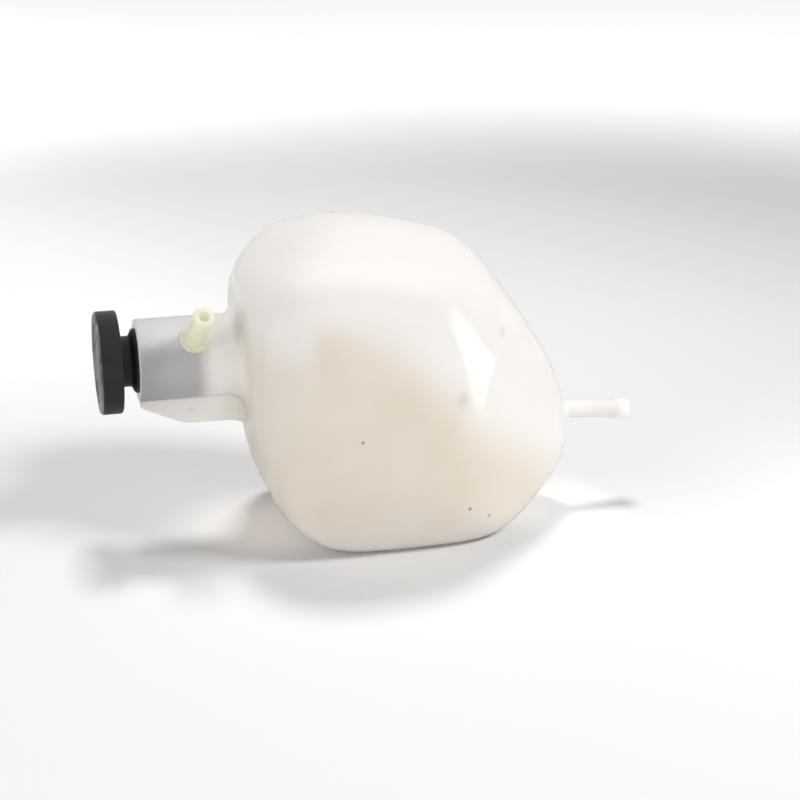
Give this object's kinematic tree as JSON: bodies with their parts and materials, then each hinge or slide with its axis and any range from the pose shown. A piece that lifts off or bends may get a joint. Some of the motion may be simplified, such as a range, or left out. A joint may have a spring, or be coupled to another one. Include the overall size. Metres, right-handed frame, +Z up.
{
  "type": "coolant expansion tank",
  "caption": "Hollow blown plastic coolant tank lying on its side, with a round filler neck closed by a rubber bung, a collared hose spigot and an overflow nipple.",
  "frame": {"origin": "on the rest face, under the middle of the blown shell", "axes": "+Z up, away from the rest face; the filler neck's axis runs along -X and the outlet spigot leaves at the +X end; the mould's parting plane is XZ"},
  "size_m": [0.2734, 0.1238, 0.1608],
  "materials": {
    "natural_plastic": "milky translucent blow-moulded polyethylene, soft gloss",
    "aged_plastic": "yellowed translucent moulded plastic",
    "black_rubber": "satin moulded rubber"
  },
  "bodies": {
    "tank_body": {"tank": "natural_plastic", "overflow_nipple": "aged_plastic"},
    "bung_body": {"filler_bung": "black_rubber"}
  },
  "joints": [
    {"name": "bung_pull", "type": "slide", "parent": "tank_body", "child": "bung_body", "axis": [-1, 0, 0], "range_m": [0, 0.06]}
  ]
}
